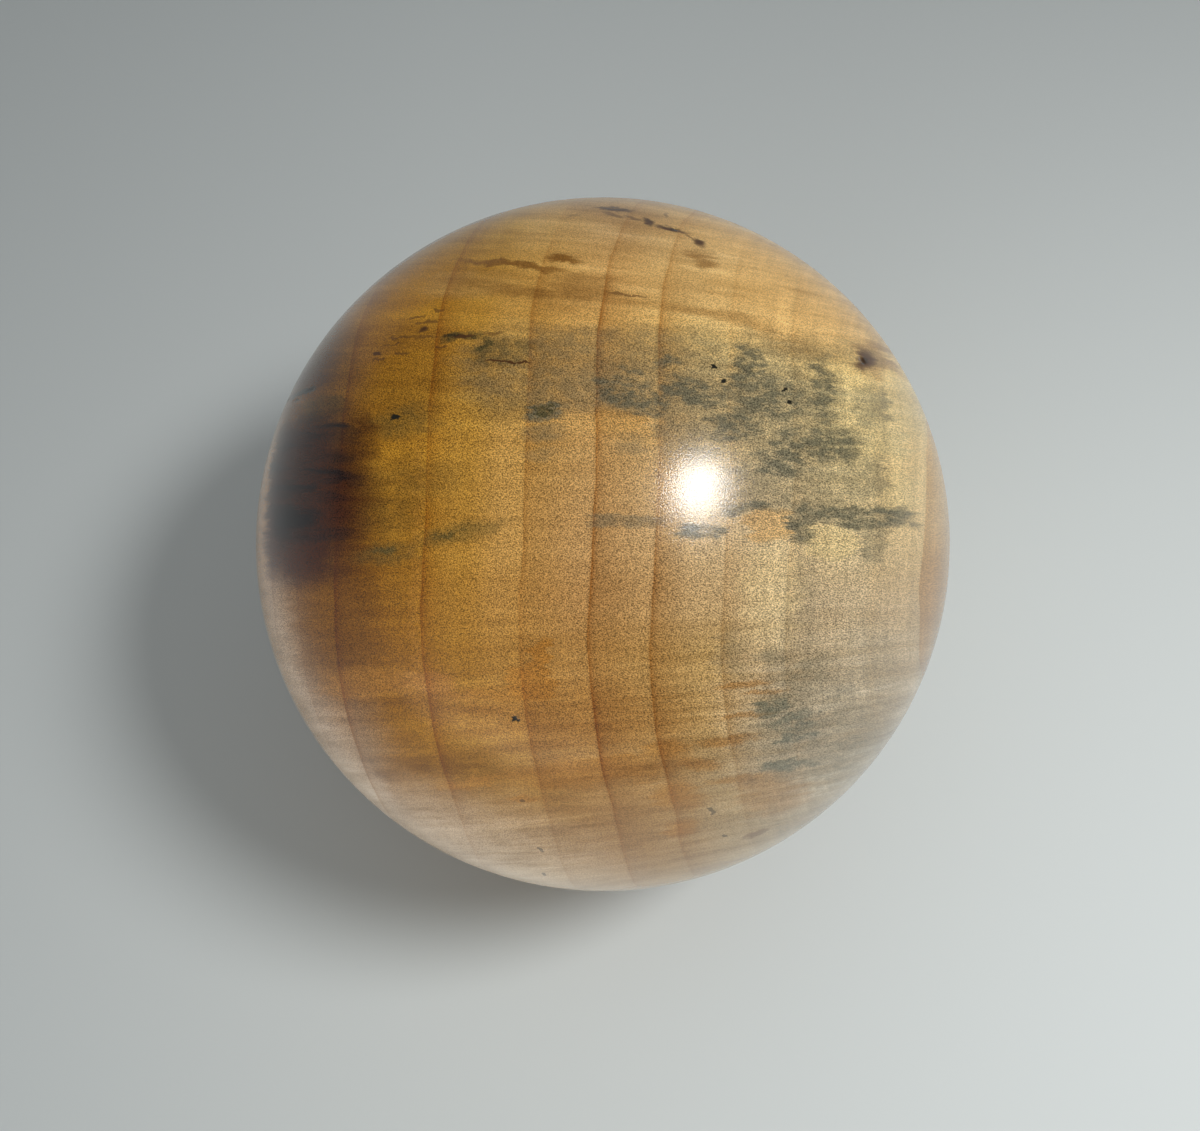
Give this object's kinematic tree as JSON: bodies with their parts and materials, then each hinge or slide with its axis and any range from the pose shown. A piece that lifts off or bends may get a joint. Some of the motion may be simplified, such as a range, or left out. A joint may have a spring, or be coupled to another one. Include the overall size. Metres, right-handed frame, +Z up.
{
  "type": "wooden ball",
  "caption": "Solid turned wooden ball with a smooth clear satin finish, for a desk, shelf or hand, resting on one point.",
  "frame": {"origin": "centre of the ball", "axes": "+Z up from the point it rests on through the centre, +Y away from the usual viewer, +X to the viewer's right; the wood's growth rings are crossed along X"},
  "size_m": [0.06, 0.06, 0.06],
  "materials": {
    "spalted_wood": "clear satin coat over spalted, amber brown wood"
  },
  "bodies": {
    "root": {"ball": "spalted_wood"}
  },
  "joints": []
}
